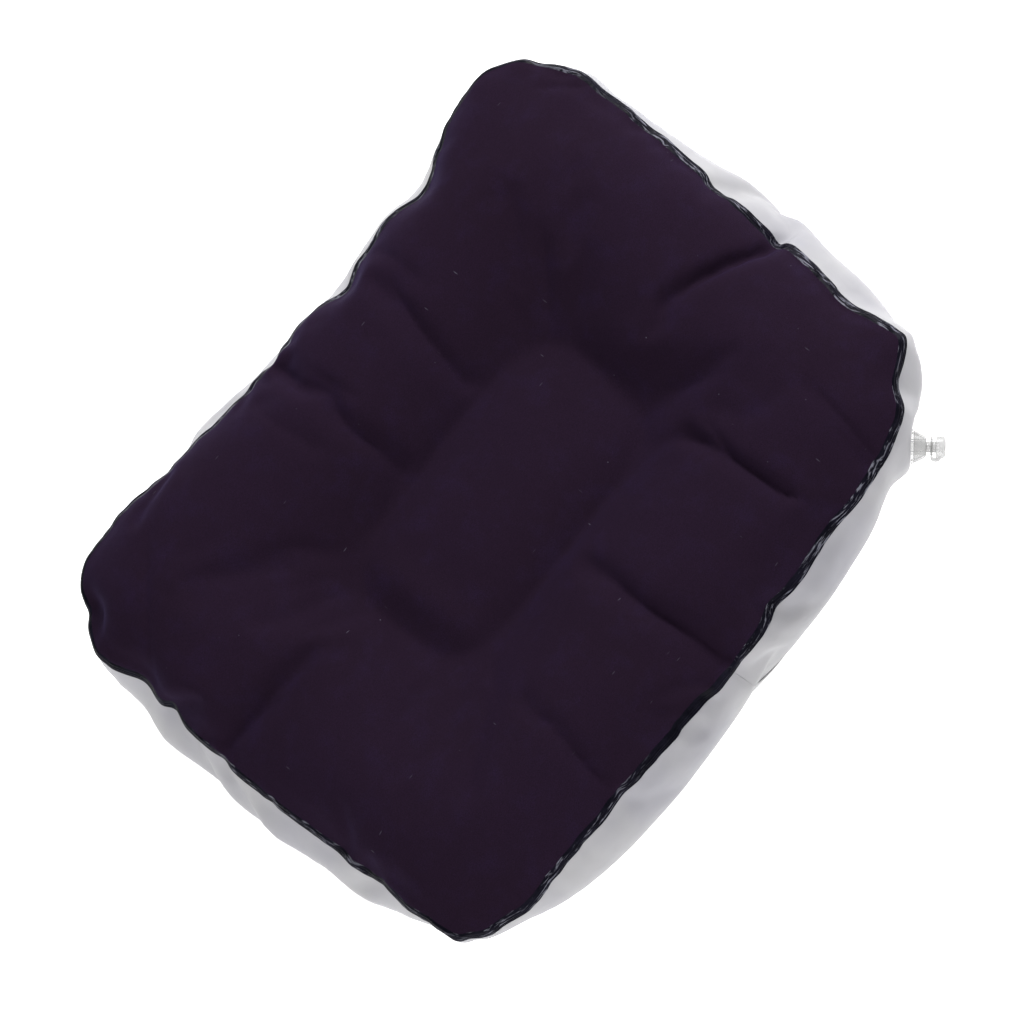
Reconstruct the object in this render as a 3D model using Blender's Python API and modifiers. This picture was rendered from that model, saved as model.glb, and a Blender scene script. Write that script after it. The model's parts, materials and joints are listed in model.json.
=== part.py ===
"""A rectangular air cushion: a flocked top sheet, a film wall strip and a film bottom sheet welded into a
bag, an inner tie web that draws the middle of the top down, and an inflation valve with a tethered cap.

Metres, +Z up. The origin is the middle of the bottom sheet's flat rest face, and +X runs along the cushion.
"""

import math
from bisect import bisect_right

import bmesh
import bpy
from mathutils import Matrix, Vector

# The bag, as it stands half firm
PANEL_LENGTH = 0.455  # between the weld lines of the two short edges
PANEL_WIDTH = 0.352
CORNER_POWERS = (9.0, 7.0, 9.0, 3.85)  # how square each corner is, from the +X+Y corner round to +X-Y
FILM = 0.0005
FLOCKED_FILM = 0.0008
GAP = 0.0003  # between faces that are welded on the real cushion
LOWER_RIM = 0.010  # height of the bottom weld line
UPPER_RIM = 0.070  # height of the top weld line
WALL_BULGE = 0.012
WELD_MARGIN = 0.004  # how far the top and bottom sheets run on over the wall
LAP_LENGTH = 0.012  # the wall strip's two ends lap by this much
LAP_SHARE = 0.75  # where the lap is, as a share of the way round from the +X end towards +Y
REST_INSET = 0.030  # from the weld line to where the bottom sheet lies flat
AROUND = 88  # stations round the bag
CROWDING = 0.3  # how much closer together they are beside the valve
WALL_STEPS = 6
WALL_EDGE_GAP = math.radians(1.5)  # the wall strip's edges stop this much of its arc short of the weld lines

# The top's dome and its tied middle
DOME_RISE = 0.022  # of the dome's crest above the straight line from rim to valley
DOME_STEPS = 4
VALLEY_HEIGHT = 0.070  # of the flocked face over the tie web
ISLAND_LENGTH = 0.195
ISLAND_WIDTH = 0.105
ISLAND_POWERS = (4.0, 4.0, 4.0, 4.0)
ISLAND_RISE = 0.012
ISLAND_RINGS = (0.7, 0.35)  # shares of the way out from the island's middle
TIE_MARGIN = 0.006  # the tie web's flanges, which are welded to both sheets
TIE_AROUND = 40
VENT_COUNT = 8
VENT_RADIUS = 0.007
VENT_CUT = 0.012

# The valve, with distances along its axis counted outwards from the wall's outer face
VALVE_SHARE = 0.8768  # where it is, counted as LAP_SHARE is
VALVE_TURN = math.radians(-52)  # which way it points, from +X towards +Y
VALVE_DROOP = math.radians(14)  # how far it points below level
VALVE_SIDES = 24
FLAT_RADIUS = 0.013  # the wall is flat out to here round the valve
FLAT_END = 0.022
FLANGE_RADIUS = 0.0105
FLANGE_THICKNESS = 0.0010
PORT_RADIUS = 0.0075  # the hole through the wall and the flange
PORT_CUT = 0.020
BOOT_FOOT_RADIUS = 0.0098
BOOT_SHOULDER_RADIUS = 0.0064
BOOT_WALL = 0.0008
BOOT_SHOULDER = 0.0084
STEM_RADIUS = 0.00455
BORE_RADIUS = 0.0032
STEM_START = -0.0040
STEM_END = 0.0145
CAP_HEAD_RADIUS = 0.0066
CAP_HEAD_LENGTH = 0.0056
CAP_PLUG_LENGTH = 0.0060
CAP_CHAMFER = 0.0014
STRAP_RING_START = 0.0106
STRAP_RING_RADIUS = 0.0064
STRAP_THICKNESS = 0.0010
STRAP_WIDTH = 0.0030
STRAP_BOW = 0.0018
STRAP_ROOT = 0.0008  # how far the ribbon reaches into its ring
STRAP_STEPS = 8
STRAP_SIDE = math.radians(225)  # the side of the stem it runs on, from the flap's hinge line
FLAP_RADIUS = 0.0042
FLAP_THICKNESS = 0.0008


class Outline:
    """A closed oblong with soft corners, walked by the share of its length from the +X end towards +Y."""

    SAMPLES = 2880
    STEP = 0.004  # the share of its length over which its direction is taken

    def __init__(self, length, width, powers):
        self.points = []
        for i in range(self.SAMPLES + 1):
            angle = 2 * math.pi * i / self.SAMPLES
            power = powers[min(4 * i // self.SAMPLES, 3)]
            along, across = math.cos(angle), math.sin(angle)
            x = math.copysign(abs(along) ** (2 / power) * length / 2, along)
            y = math.copysign(abs(across) ** (2 / power) * width / 2, across)
            self.points.append(Vector((x, y, 0)))
        self.lengths = [0.0]
        for a, b in zip(self.points, self.points[1:]):
            self.lengths.append(self.lengths[-1] + (b - a).length)

    def point(self, share):
        target = (share % 1.0) * self.lengths[-1]
        i = min(bisect_right(self.lengths, target) - 1, self.SAMPLES - 1)
        span = self.lengths[i + 1] - self.lengths[i]
        return self.points[i].lerp(self.points[i + 1], (target - self.lengths[i]) / span)

    def outward(self, share):
        along = self.point(share + self.STEP) - self.point(share - self.STEP)
        return Vector((along.y, -along.x, 0)).normalized()

    def place(self, share, outset, height):
        flat = self.point(share) + self.outward(share) * outset
        return Vector((flat.x, flat.y, height))


RIM = Outline(PANEL_LENGTH, PANEL_WIDTH, CORNER_POWERS)
ISLAND = Outline(ISLAND_LENGTH, ISLAND_WIDTH, ISLAND_POWERS)

MARGIN_OUTSET = GAP + FLOCKED_FILM  # of both sheets' outer faces from the wall's, along their weld margins
HALF_WALL = (UPPER_RIM - LOWER_RIM) / 2
WALL_MIDDLE = (UPPER_RIM + LOWER_RIM) / 2
WALL_RADIUS = (HALF_WALL**2 + WALL_BULGE**2) / (2 * WALL_BULGE)
WALL_ANGLE = math.asin(HALF_WALL / WALL_RADIUS)
VALVE_OUTWARD = Vector((math.cos(VALVE_TURN), math.sin(VALVE_TURN), 0))
VALVE_AXIS = VALVE_OUTWARD * math.cos(VALVE_DROOP) - Vector((0, 0, math.sin(VALVE_DROOP)))
VALVE_BASE = RIM.place(VALVE_SHARE, WALL_BULGE, WALL_MIDDLE)


def stations():
    """Shares of the way round from the +X end, closer together beside the valve."""
    shares = []
    for i in range(AROUND):
        turn = i / AROUND
        pull = math.sin(2 * math.pi * (turn - VALVE_SHARE))
        shares.append(turn - CROWDING * pull / (2 * math.pi))
    return shares


def wall_section(angle, outset=0.0):
    """(distance outside the weld line, height) at an angle up the wall's arc."""
    radius = WALL_RADIUS + outset
    return WALL_BULGE - WALL_RADIUS + radius * math.cos(angle), WALL_MIDDLE + radius * math.sin(angle)


def smooth_step(value, low, high):
    t = min(max((value - low) / (high - low), 0.0), 1.0)
    return t * t * (3 - 2 * t)


def flattened(point):
    """The wall's film lies flat under the valve's flange."""
    across = point - VALVE_BASE
    depth = across.dot(VALVE_AXIS)
    if depth < -FLAT_END:
        return point
    radius = (across - depth * VALVE_AXIS).length
    return point - VALVE_AXIS * depth * (1 - smooth_step(radius, FLAT_RADIUS, FLAT_END))


def new_collection(name):
    collection = bpy.data.collections.new(name)
    bpy.context.scene.collection.children.link(collection)
    return collection


def new_material(name, colour, roughness, alpha=1.0):
    material = bpy.data.materials.new(name)
    material.use_nodes = True
    shader = material.node_tree.nodes["Principled BSDF"]
    shader.inputs["Base Color"].default_value = (*colour, 1.0)
    shader.inputs["Roughness"].default_value = roughness
    shader.inputs["Metallic"].default_value = 0.0
    shader.inputs["Alpha"].default_value = alpha
    return material


def finish_part(obj, material):
    obj.data.materials.append(material)
    obj.data.shade_smooth()
    obj.data.set_sharp_from_angle(angle=math.radians(40))
    PARTS.objects.link(obj)
    return obj


def object_from(bm, name, material):
    mesh = bpy.data.meshes.new(name)
    bm.to_mesh(mesh)
    bm.free()
    return finish_part(bpy.data.objects.new(name, mesh), material)


def skin(rows, closed=True):
    """A bmesh surface through rows of points, and the rows of its vertices."""
    bm = bmesh.new()
    made = [[bm.verts.new(p) for p in row] for row in rows]
    for lower, upper in zip(made, made[1:]):
        count = len(lower)
        for i in range(count if closed else count - 1):
            j = (i + 1) % count
            bm.faces.new((lower[i], lower[j], upper[j], upper[i]))
    return bm, made


def thicken(obj, thickness):
    modifier = obj.modifiers.new("film", "SOLIDIFY")
    modifier.thickness = thickness
    modifier.offset = -1.0
    modifier.use_even_offset = True


def add_cutter(name, radius, depth, middle, direction):
    bpy.ops.mesh.primitive_cylinder_add(vertices=VALVE_SIDES, radius=radius, depth=depth)
    cutter = bpy.context.object
    cutter.name = name
    cutter.matrix_world = Matrix.Translation(middle) @ direction.to_track_quat("Z", "Y").to_matrix().to_4x4()
    cutter.hide_render = True
    cutter.display_type = "WIRE"
    for collection in list(cutter.users_collection):
        collection.objects.unlink(cutter)
    CUTTERS.objects.link(cutter)
    return cutter


def combine(obj, other, operation):
    modifier = obj.modifiers.new(other.name, "BOOLEAN")
    modifier.operation = operation
    modifier.object = other
    modifier.solver = "EXACT"


def make_top_sheet():
    """The flocked sheet: its weld margin, the dome round the middle, the tied valley and the island in it."""
    shares = stations()
    margin_angle = WALL_ANGLE - WELD_MARGIN / WALL_RADIUS
    rows = [[RIM.place(s, *wall_section(margin_angle, MARGIN_OUTSET)) for s in shares]]
    rim = [RIM.place(s, *wall_section(WALL_ANGLE, MARGIN_OUTSET)) for s in shares]
    valley = [ISLAND.place(s, TIE_MARGIN, VALLEY_HEIGHT) for s in shares]
    rows.append(rim)
    for step in range(1, DOME_STEPS):
        t = step / DOME_STEPS
        lift = Vector((0, 0, DOME_RISE * math.sin(math.pi * t)))
        rows.append([a.lerp(b, t) + lift for a, b in zip(rim, valley)])
    rows.append(valley)
    inner = [ISLAND.place(s, -TIE_MARGIN, VALLEY_HEIGHT) for s in shares]
    rows.append(inner)
    crown = Vector((0, 0, VALLEY_HEIGHT + ISLAND_RISE))
    for reach in ISLAND_RINGS:
        height = VALLEY_HEIGHT + ISLAND_RISE * (1 - reach**2)
        rows.append([Vector((p.x * reach, p.y * reach, height)) for p in inner])
    bm, made = skin(rows)
    middle = bm.verts.new(crown)
    last = made[-1]
    for a, b in zip(last, last[1:] + last[:1]):
        bm.faces.new((a, b, middle))
    sheet = object_from(bm, "top_sheet", new_material("flocked film", (0.020, 0.011, 0.023), 0.95))
    thicken(sheet, FLOCKED_FILM)


def make_bottom_sheet():
    """The film bottom: flat where it rests, turned up to the weld line and over the wall's lower margin."""
    shares = stations()
    margin_angle = -WALL_ANGLE + WELD_MARGIN / WALL_RADIUS
    edge = wall_section(-WALL_ANGLE, MARGIN_OUTSET)
    rows = [[RIM.place(s, -REST_INSET, 0.0) for s in shares]]
    for reach in (1 / 3, 2 / 3):
        outset = -REST_INSET + (REST_INSET + edge[0]) * reach
        rows.append([RIM.place(s, outset, edge[1] * reach**2) for s in shares])
    rows.append([RIM.place(s, *edge) for s in shares])
    rows.append([RIM.place(s, *wall_section(margin_angle, MARGIN_OUTSET)) for s in shares])
    bm, made = skin(rows)
    bm.faces.new(list(reversed(made[0])))
    sheet = object_from(bm, "bottom_sheet", new_material("grey film", (0.42, 0.41, 0.45), 0.30, 0.75))
    thicken(sheet, FILM)


def make_side_wall():
    """One strip of film bent round the bag. Its far end passes inside its near end at the lap."""
    shares = stations()
    first = min(range(AROUND), key=lambda i: abs(shares[i] - LAP_SHARE))
    shares = shares[first:] + [share + 1.0 for share in shares[: first + 1]]
    shares.append(shares[-1] + LAP_LENGTH / RIM.lengths[-1])
    end = len(shares) - 2
    reach = WALL_ANGLE - WALL_EDGE_GAP
    rows = []
    for step in range(WALL_STEPS + 1):
        angle = reach * (2 * step / WALL_STEPS - 1)
        row = []
        for i, share in enumerate(shares):
            outset = -(FILM + GAP) if i >= end else 0.0
            row.append(flattened(RIM.place(share, *wall_section(angle, outset))))
        rows.append(row)
    bm, _ = skin(rows, closed=False)
    wall = object_from(bm, "side_wall", new_material("grey wall film", (0.45, 0.44, 0.48), 0.30, 0.65))
    thicken(wall, FILM)
    combine(wall, add_cutter("port_cutter", PORT_RADIUS, PORT_CUT, VALVE_BASE, VALVE_AXIS), "DIFFERENCE")


def make_tie_web():
    """The upright film ring inside the bag, flanged onto both sheets, with vents that join the two chambers."""
    low = FILM + GAP
    high = VALLEY_HEIGHT - FLOCKED_FILM - GAP
    section = ((-TIE_MARGIN, low), (0.0, low), (0.0, high), (-TIE_MARGIN, high))
    rows = [[ISLAND.place(i / TIE_AROUND, *place) for i in range(TIE_AROUND)] for place in section]
    bm, _ = skin(rows)
    web = object_from(bm, "tie_web", new_material("web film", (0.45, 0.44, 0.48), 0.30, 0.65))
    thicken(web, FILM)
    for i in range(VENT_COUNT):
        share = (i + 0.5) / VENT_COUNT
        middle = ISLAND.place(share, 0.0, (low + high) / 2)
        cutter = add_cutter(f"vent_cutter_{i + 1}", VENT_RADIUS, VENT_CUT, middle, ISLAND.outward(share))
        combine(web, cutter, "DIFFERENCE")


def turned(name, profile, material, closed=True):
    """A piece of revolution about the valve's axis from (radius, distance) points."""
    mesh = bpy.data.meshes.new(name)
    edges = [(i, i + 1) for i in range(len(profile) - 1)]
    if closed:
        edges.append((len(profile) - 1, 0))
    mesh.from_pydata([(radius, 0.0, distance) for radius, distance in profile], edges, [])
    piece = finish_part(bpy.data.objects.new(name, mesh), material)
    screw = piece.modifiers.new("turn", "SCREW")
    screw.steps = VALVE_SIDES
    screw.render_steps = VALVE_SIDES
    screw.use_merge_vertices = True
    screw.merge_threshold = 0.00001
    piece.parent = VALVE
    return piece


def make_flange(clear):
    top = GAP + FLANGE_THICKNESS
    profile = ((FLANGE_RADIUS, top), (FLANGE_RADIUS, GAP), (PORT_RADIUS, GAP), (PORT_RADIUS, top))
    turned("valve_flange", profile, clear)


def make_boot(clear):
    """The soft cone between flange and stem, which turns inside out when the stem is pushed in."""
    foot = 2 * GAP + FLANGE_THICKNESS
    neck = STEM_RADIUS + GAP
    profile = (
        (neck, BOOT_SHOULDER + BOOT_WALL),
        (BOOT_SHOULDER_RADIUS, BOOT_SHOULDER),
        (BOOT_FOOT_RADIUS, foot),
        (BOOT_FOOT_RADIUS - BOOT_WALL, foot),
        (BOOT_SHOULDER_RADIUS - BOOT_WALL, BOOT_SHOULDER - BOOT_WALL),
        (neck, BOOT_SHOULDER),
    )
    turned("valve_boot", profile, clear)


def make_stem(clear):
    profile = (
        (STEM_RADIUS, STEM_END),
        (STEM_RADIUS, STEM_START),
        (BORE_RADIUS, STEM_START),
        (BORE_RADIUS, STEM_END),
    )
    turned("valve_stem", profile, clear)


def make_cap(clear):
    """A plug in the stem's bore under a round head."""
    under = STEM_END + GAP
    top = under + CAP_HEAD_LENGTH
    plug = BORE_RADIUS - GAP
    profile = (
        (0.0, top - CAP_CHAMFER / 2),
        (CAP_HEAD_RADIUS - 2 * CAP_CHAMFER, top),
        (CAP_HEAD_RADIUS - CAP_CHAMFER, top),
        (CAP_HEAD_RADIUS, top - CAP_CHAMFER),
        (CAP_HEAD_RADIUS, under),
        (plug, under),
        (plug, under - CAP_PLUG_LENGTH),
        (0.0, under - CAP_PLUG_LENGTH),
    )
    turned("valve_cap", profile, clear, closed=False)


def make_strap(clear):
    """A ring round the stem with a ribbon that loops out to the cap's head."""
    ring_end = STRAP_RING_START + STRAP_THICKNESS
    ring_bore = STEM_RADIUS + GAP
    ring = turned(
        "cap_strap",
        (
            (STRAP_RING_RADIUS, ring_end),
            (STRAP_RING_RADIUS, STRAP_RING_START),
            (ring_bore, STRAP_RING_START),
            (ring_bore, ring_end),
        ),
        clear,
    )
    start = STRAP_RING_START + STRAP_THICKNESS / 2
    end = STEM_END + CAP_HEAD_LENGTH / 2
    near = CAP_HEAD_RADIUS + GAP
    path = [(STRAP_RING_RADIUS - STRAP_ROOT, start)]
    for i in range(1, STRAP_STEPS + 1):
        turn = math.pi * i / STRAP_STEPS
        path.append((near + STRAP_BOW * math.sin(turn), start + (end - start) * (1 - math.cos(turn)) / 2))
    outward = Vector((math.cos(STRAP_SIDE), math.sin(STRAP_SIDE), 0))
    sideways = Vector((-outward.y, outward.x, 0)) * STRAP_WIDTH / 2
    spine = [outward * radius + Vector((0, 0, distance)) for radius, distance in path]
    rows = []
    for i, point in enumerate(spine):
        along = (spine[min(i + 1, STRAP_STEPS)] - spine[max(i - 1, 0)]).normalized()
        if i == STRAP_STEPS:
            along = -outward
        across = sideways.normalized().cross(along) * STRAP_THICKNESS / 2
        rows.append([point + sideways + across, point - sideways + across])
        rows[-1] += [point - sideways - across, point + sideways - across]
    bm, made = skin(rows)
    bm.faces.new(made[0])
    bm.faces.new(list(reversed(made[-1])))
    bmesh.ops.recalc_face_normals(bm, faces=bm.faces)
    mesh = bpy.data.meshes.new("ribbon")
    bm.to_mesh(mesh)
    bm.free()
    ribbon = bpy.data.objects.new("ribbon", mesh)
    ribbon.parent = VALVE
    ribbon.hide_render = True
    ribbon.display_type = "WIRE"
    CUTTERS.objects.link(ribbon)
    combine(ring, ribbon, "UNION")


def make_flap(clear):
    """The non-return flap over the stem's inner end. Its origin is on its hinge line, at its upper edge."""
    bm = bmesh.new()
    bmesh.ops.create_cone(
        bm,
        cap_ends=True,
        segments=VALVE_SIDES,
        radius1=FLAP_RADIUS,
        radius2=FLAP_RADIUS,
        depth=FLAP_THICKNESS,
        matrix=Matrix.Translation((0, -FLAP_RADIUS, 0)),
    )
    flap = object_from(bm, "check_flap", clear)
    flap.parent = VALVE
    flap.location = (0, FLAP_RADIUS, STEM_START - GAP - FLAP_THICKNESS / 2)


for old in list(bpy.data.objects):
    bpy.data.objects.remove(old, do_unlink=True)
PARTS = new_collection("air cushion")
CUTTERS = new_collection("cutters")

# The valve's own frame: X along the flap's level hinge line, Y to the valve's upper side, Z out along the stem
HINGE_LINE = Vector((0, 0, 1)).cross(VALVE_OUTWARD)
UPPER_SIDE = VALVE_AXIS.cross(HINGE_LINE)
VALVE = bpy.data.objects.new("valve_axis", None)
turn = Matrix((HINGE_LINE, UPPER_SIDE, VALVE_AXIS)).transposed().to_4x4()
VALVE.matrix_world = Matrix.Translation(VALVE_BASE) @ turn
PARTS.objects.link(VALVE)

make_top_sheet()
make_side_wall()
make_bottom_sheet()
make_tie_web()
for number, make in enumerate((make_flange, make_boot, make_stem, make_cap, make_strap, make_flap)):
    make(new_material(f"clear vinyl {number + 1}", (0.62, 0.62, 0.61), 0.20, 0.55))
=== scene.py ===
"""The looks of a rectangular air cushion: a flocked top sheet welded over a translucent film wall, a
tied middle, and a capped inflation valve. Metres, +Z up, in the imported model's own frame.
"""

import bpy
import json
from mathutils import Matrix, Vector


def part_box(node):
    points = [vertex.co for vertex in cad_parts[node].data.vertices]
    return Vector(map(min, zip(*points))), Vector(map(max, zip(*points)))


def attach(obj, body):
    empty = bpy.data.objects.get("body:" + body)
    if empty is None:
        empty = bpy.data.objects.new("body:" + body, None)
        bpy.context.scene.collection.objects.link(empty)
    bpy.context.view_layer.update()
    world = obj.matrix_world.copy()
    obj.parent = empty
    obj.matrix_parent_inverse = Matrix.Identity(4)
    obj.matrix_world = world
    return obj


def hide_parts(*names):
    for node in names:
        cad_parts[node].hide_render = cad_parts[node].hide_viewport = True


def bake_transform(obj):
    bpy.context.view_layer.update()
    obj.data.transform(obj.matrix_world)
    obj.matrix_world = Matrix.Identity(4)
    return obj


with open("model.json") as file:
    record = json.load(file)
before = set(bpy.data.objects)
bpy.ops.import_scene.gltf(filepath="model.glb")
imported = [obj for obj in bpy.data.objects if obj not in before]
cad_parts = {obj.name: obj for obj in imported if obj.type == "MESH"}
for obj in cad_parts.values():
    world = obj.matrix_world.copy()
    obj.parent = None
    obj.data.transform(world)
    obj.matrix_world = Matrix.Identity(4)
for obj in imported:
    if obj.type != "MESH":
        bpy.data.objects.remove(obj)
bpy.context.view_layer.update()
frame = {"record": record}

import json
import math

import bmesh
import bpy
import numpy as np
from mathutils import Matrix, Vector

# The bag's cut pieces, which match the CAD's bag once they are blown up
PANEL_LENGTH = 0.455
PANEL_WIDTH = 0.352
TOP_POWERS = (8.0, 12.0, 8.0, 5.5)  # how square each corner is, from the +X+Y corner round to +X-Y
BASE_POWERS = (5.0, 4.5, 3.6, 3.6)
EASE = 0.008  # how much larger the panels are cut on every side than they end up
WALL_CUT = 0.066  # the wall strip's width before it bulges
UPPER_RIM = 0.070
LOWER_RIM = 0.010
FILM = 0.0005
FLOCKED_FILM = 0.0008
GAP = 0.0003
FLAT_REACH = 0.85  # the bottom rests flat out to this share of its reach
WALL_BULGE = 0.012
DRAW_IN = 0.028  # the share by which the rims start inside the cut panels

# The tied middle of the top
ISLAND_LENGTH = 0.195
ISLAND_WIDTH = 0.105
ISLAND_POWER = 4.0
ISLAND_RISE = 0.010
TIE_BAND = 0.055  # the part of the island's reach that is held by the tie web
VALLEY_HEIGHT = 0.070
DOME_RISE = 0.016  # of the top between the valley and the rim, before it is blown up

# The simulation's net
CELL = 0.0047
FRAMES = 50

# Creases that start the folds: from, to, width and how deep, in millimetres
CREASE_DEPTH = 4.0
CREASES = (
    ((-21, 168), (-21, 65), 6, 1.0),
    ((-10, 168), (-12, 120), 4, 0.5),
    ((60, 150), (43, 65), 6, 1.0),
    ((75, 165), (72, 130), 5, 0.6),
    ((-45, 160), (-44, 110), 5, 0.4),
    ((-85, -100), (-93, -171), 5, 0.8),
    ((1, -78), (8, -175), 7, 1.2),
    ((99, -74), (108, -149), 4, 1.2),
    ((165, -120), (153, -172), 5, 0.8),
    ((-220, 40), (-150, 29), 6, 0.6),
    ((159, -13), (222, -36), 6, 0.9),
    ((-150, 165), (-117, 176), 4, 0.8),
)

# Where the rim has been pushed out or drawn in, in millimetres: place, move, reach
RIM_PULLS = (
    ((222, 70), (5.5, 0, 0), 58),
    ((231, 128), (3, 0, 0), 12),
    ((192, 168), (2, 9, 2), 26),
    ((120, 172), (0, -10, -4), 13),
    ((70, 170), (0, -4, -2), 9),
    ((45, 170), (0, -7, -5), 10),
    ((33, 168), (0, -2, 0), 8),
    ((0, 171), (0, 3, 0), 10),
    ((-92, 178), (0, 3, 0), 18),
    ((-120, 182), (0, -2, 0), 12),
    ((-150, 175), (0, 14, 3), 46),
    ((-190, 180), (0, 2, 0), 12),
    ((-212, 158), (12, -4, -6), 10),
    ((-222, 130), (1, 0, 0), 10),
    ((-222, 108), (7, 0, -3), 12),
    ((-224, 78), (-3, 0, 0), 12),
    ((-228, -102), (4, 0, 0), 22),
    ((-226, -135), (3, 0, 0), 12),
    ((-190, -165), (3, 3, 0), 20),
    ((-147, -175), (0, 2, 0), 14),
    ((-105, -175), (0, 4, 0), 36),
    ((10, -175), (0, -5, 0), 75),
    ((98, -176), (0, 3, 0), 10),
    ((200, -158), (-5, 5, 0), 13),
    ((225, -136), (6, -3, 0), 12),
    ((229, -97), (-9, 0, 0), 22),
    ((230, 2), (1.5, 0, 0), 12),
    ((92, 168), (0, -3, 0), 10),
    ((-53, 173), (0, 3, 0), 9),
    ((-98, 177), (0, -2, 0), 8),
    ((-230, -47), (2, 0, 0), 9),
    ((-230, -75), (-2, 0, 0), 9),
    ((184, -165), (2, -2, 0), 9),
)
# Where the wall and the base bulge out or are drawn in below the rim
WALL_PULLS = (
    ((232, 4), (7, 0, 0), 28),
    ((232, 84), (-7, 0, 0), 24),
    ((231, -92), (5, 0, 0), 20),
    ((224, -134), (-5, 3, 0), 13),
    ((206, -154), (3, -4, 0), 10),
    ((-232, 25), (-8, 0, 0), 48),
    ((-18, 186), (0, 5, 0), 20),
    ((38, 182), (0, 4, 0), 12),
    ((-74, 184), (0, 8, 0), 26),
    ((110, -182), (0, -1, 0), 30),
    ((0, -182), (0, -2, 0), 50),
    ((-110, -182), (0, -3, 0), 45),
    ((150, -178), (-2, 4, 0), 20),
    ((-215, -150), (9, 7, 0), 30),
    ((-231, 97), (-3, 0, 0), 14),
    ((-232, -2), (-3, 0, 0), 12),
    ((232, -26), (3, 0, 0), 14),
    ((232, 102), (-3, 0, 0), 12),
    ((-76, 182), (0, 3, 0), 12),
)
# The weld line's small ripples: how long and how high, in millimetres
RIPPLES = ((23.0, 71.0, 0.5), (12.5, 43.0, 0.35))
RIPPLE_DRIFT = 2.0  # radians by which their spacing wanders
RISE_LAG = 1.7  # radians by which their height follows their outset

# Heights between which the rim's pulls, the wall's pulls and the folds fade in or out
RIM_PULL_FADE = (0.010, 0.060)
WALL_PULL_FADE = (0.040, 0.068)
FOLD_FADE = (0.045, 0.066)
RIPPLE_FADE = (0.90, 0.985)  # shares of the reach from the middle to the rim
RIM_POWER = 8  # how square the rim is where the ripples push it out
FOLD_END = 0.04  # how far, as a share of its length, a fold's depth starts before its first point

# Sharp folds in the film, each a line of points with a width and a depth at its middle, in millimetres
FOLDS = (
    (((-21, 168), (-18, 139)), 3.5, 2.6),
    (((-19, 118), (-20, 104), (-22, 57)), 3.5, 2.2),
    (((-9, 140), (-5, 104)), 3.5, 2.2),
    (((62, 134), (51, 103), (43, 66)), 3.0, 2.4),
    (((75, 156), (74, 118)), 3.0, 1.6),
    (((-48, 150), (-45, 104)), 3.5, 1.4),
    (((89, -66), (103, -89)), 2.2, 1.2),
    (((110, -80), (103, -106), (103, -141), (109, -160)), 2.2, 3.2),
    (((1, -82), (3, -112), (6, -150), (9, -180)), 2.6, 3.0),
    (((-85, -112), (-90, -150), (-93, -170)), 2.2, 2.2),
    (((163, -122), (157, -154), (152, -176)), 2.6, 2.4),
    (((150, -16), (180, -25), (210, -38), (226, -44)), 3.4, 2.6),
    (((-204, 34), (-186, 31), (-164, 20)), 3.4, 1.8),
    (((100, 44), (122, 62), (146, 82)), 6.0, 2.4),
    (((110, -42), (126, -58), (142, -72)), 4.5, 1.8),
    (((208, 142), (228, 118)), 2.0, 1.6),
    (((218, 60), (230, 56)), 2.0, 1.6),
    (((-214, 100), (-180, 128), (-132, 168)), 3.0, 1.8),
    (((-150, 132), (-120, 118)), 2.5, 0.8),
    (((-60, 166), (-40, 172)), 2.0, 0.8),
)
# Low swellings: place, height and how far they spread along and across
MOUNDS = (
    ((-74, 0), 3.6, (9, 30)),
    ((-196, 150), 3.0, (20, 16)),
)


def smooth_step(value, low, high):
    t = np.clip((value - low) / (high - low), 0.0, 1.0)
    return t * t * (3 - 2 * t)


def unit(vectors):
    return vectors / np.maximum(np.linalg.norm(vectors, axis=-1, keepdims=True), 1e-9)


def corner_power(x, y, powers):
    far = np.where(x >= 0, powers[0], powers[1])
    near = np.where(x >= 0, powers[3], powers[2])
    return np.where(y >= 0, far, near)


def reach(x, y, length, width, power):
    """0 in the middle of an oblong with soft corners, 1 on its edge."""
    return (np.abs(2 * x / length) ** power + np.abs(2 * y / width) ** power) ** (1 / power)


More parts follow.
